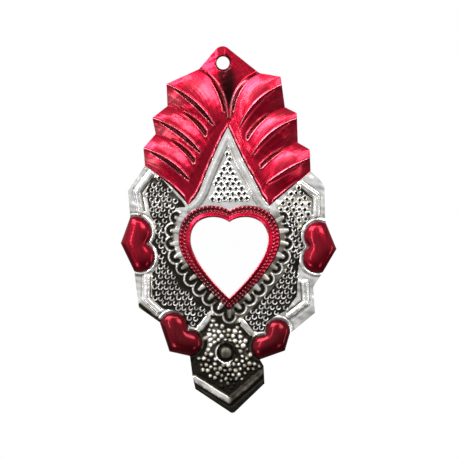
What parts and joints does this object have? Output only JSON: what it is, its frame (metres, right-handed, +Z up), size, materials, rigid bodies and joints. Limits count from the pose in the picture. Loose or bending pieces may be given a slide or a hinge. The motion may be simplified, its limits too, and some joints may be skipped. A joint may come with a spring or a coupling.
{
  "type": "tin ornament",
  "caption": "Flat hand-punched tin hanging ornament with a pleated red leaf crown, a heart-shaped mirror in a rope frame, puffed red edge hearts and a pointed tail.",
  "frame": {"origin": "middle of the hanging hole, on the face of the sheet", "axes": "+Z up the ornament, +X to the right seen from the front, -Y out of the face towards the viewer"},
  "size_m": [0.0749, 0.006, 0.1272],
  "materials": {
    "tinplate": "bright tinplate, hand worked, lightly tarnished in the hollows",
    "red_lacquer": "translucent glossy red lacquer over bright tin",
    "mirror": "silvered glass, hand cut",
    "backing_card": "plain grey-brown card",
    "solder": "dull soft solder"
  },
  "bodies": {
    "root": {"embossed_sheet": "tinplate", "mirror_glass": "mirror", "backing_card": "backing_card", "tab_upper_left": "tinplate", "tab_upper_right": "tinplate", "tab_lower_left": "tinplate", "tab_lower_right": "tinplate", "solder_tacks": "solder"}
  },
  "joints": []
}
